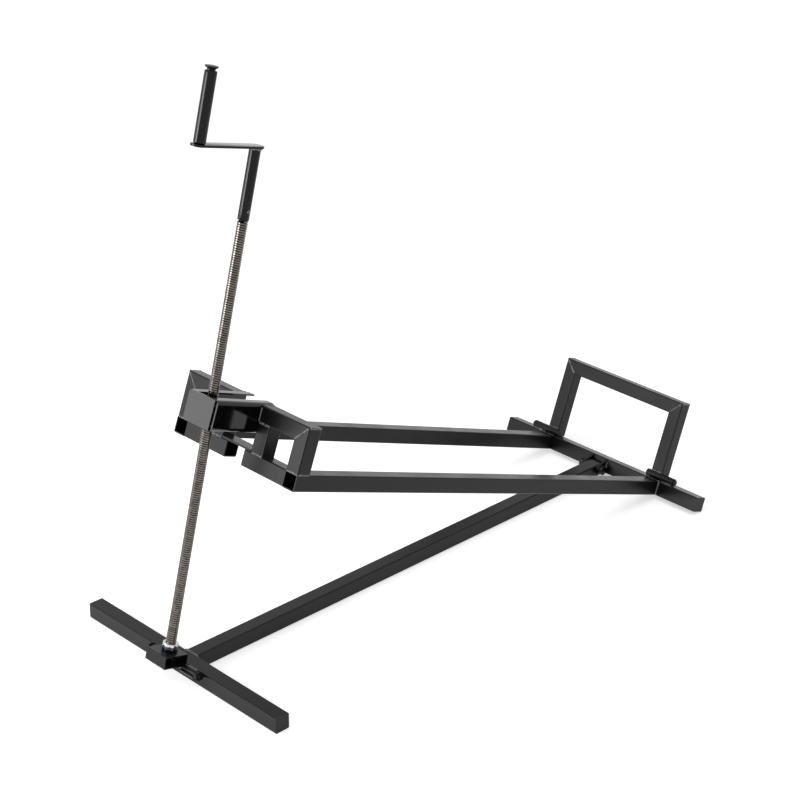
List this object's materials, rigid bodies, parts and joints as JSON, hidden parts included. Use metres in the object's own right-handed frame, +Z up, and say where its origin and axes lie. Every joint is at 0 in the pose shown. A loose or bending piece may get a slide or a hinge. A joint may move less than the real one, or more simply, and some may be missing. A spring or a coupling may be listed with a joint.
{
  "type": "lawn mower jack",
  "caption": "Screw-operated mower jack: a tilting square-tube frame hinged on a T-shaped base, raised by a cranked screw and nut, with a folding wheel backstop.",
  "frame": {"origin": "on the floor, under the middle of the front foot", "axes": "+Z up, +Y from the screw towards the backstop, +X to the side of the pivot nut"},
  "size_m": [0.514, 1.2668, 1.0773],
  "materials": {
    "frame_paint": "satin black powder coat",
    "gloss_paint": "glossy black enamel",
    "hardware": "plain steel fasteners",
    "screw_steel": "oiled rolled thread",
    "bearing_chrome": "polished bearing races"
  },
  "bodies": {
    "base": {"front_foot": "frame_paint", "foot_caps": "frame_paint", "spine": "frame_paint", "pivot_cradle_right": "frame_paint", "pivot_cradle_left": "frame_paint"},
    "lift_frame": {"rail_right": "frame_paint", "rail_left": "frame_paint", "rear_bar": "frame_paint", "rear_bar_caps": "frame_paint", "hinge_ear_right": "frame_paint", "hinge_ear_left": "frame_paint", "hinge_bolt": "hardware", "hinge_washers": "hardware", "hinge_nut": "hardware", "outer_post_right": "frame_paint", "outer_post_left": "frame_paint", "top_bar_right": "frame_paint", "top_bar_left": "frame_paint", "lower_bar_right": "frame_paint", "lower_bar_left": "frame_paint", "inner_post_right": "frame_paint", "inner_post_left": "frame_paint", "tie_plate": "frame_paint", "nut_channel": "gloss_paint", "channel_front_plate": "gloss_paint", "backstop_seat_right": "frame_paint", "backstop_seat_left": "frame_paint", "backstop_pin_right": "hardware", "backstop_pin_left": "hardware"},
    "backstop": {"backstop_upright_right": "frame_paint", "backstop_upright_left": "frame_paint", "backstop_top_bar": "frame_paint", "backstop_knuckle_right": "frame_paint", "backstop_knuckle_left": "frame_paint"},
    "rocking_block": {"screw_block": "frame_paint", "pivot_pin": "hardware", "pivot_nut": "hardware", "bearing_race_lower": "bearing_chrome"},
    "turning_screw": {"screw": "screw_steel", "bearing_race_upper": "bearing_chrome", "journal_nut": "hardware", "crank_socket": "gloss_paint", "socket_pin": "gloss_paint", "crank_arm": "gloss_paint", "grip_spindle": "gloss_paint"},
    "grip": {"grip_sleeve": "gloss_paint"},
    "climbing_nut": {"lifting_nut": "hardware"}
  },
  "joints": [
    {"name": "lift", "type": "hinge", "parent": "base", "child": "lift_frame", "pos_m": [0, 1.089, 0.02012], "axis": [-1, 0, 0], "range_deg": [-20, 15]},
    {"name": "block_tilt", "type": "hinge", "parent": "base", "child": "rocking_block", "pos_m": [0, -0.024, 0.03], "axis": [-1, 0, 0], "range_deg": [-8.7, 6.6]},
    {"name": "nut_travel", "type": "slide", "parent": "rocking_block", "child": "climbing_nut", "axis": [0, 0.2436, 0.9699], "range_m": [-0.383, 0.2875]},
    {"name": "screw_spin", "type": "hinge", "parent": "rocking_block", "child": "turning_screw", "pos_m": [0, -0.03855, 0.03365], "axis": [0, 0.2436, 0.9699], "continuous": true},
    {"name": "grip_spin", "type": "hinge", "parent": "turning_screw", "child": "grip", "pos_m": [0.00368, 0.07901, 1.01044], "axis": [0, 0.2436, 0.9699], "continuous": true},
    {"name": "backstop_fold", "type": "hinge", "parent": "lift_frame", "child": "backstop", "pos_m": [0, 1.11969, 0.04271], "axis": [1, 0, 0], "range_deg": [0, 90]}
  ],
  "couplings": [
    {"joint": "block_tilt", "follows": "lift", "ratio": 0.43},
    {"joint": "nut_travel", "follows": "lift", "m_per_rad": 1.0943}
  ]
}
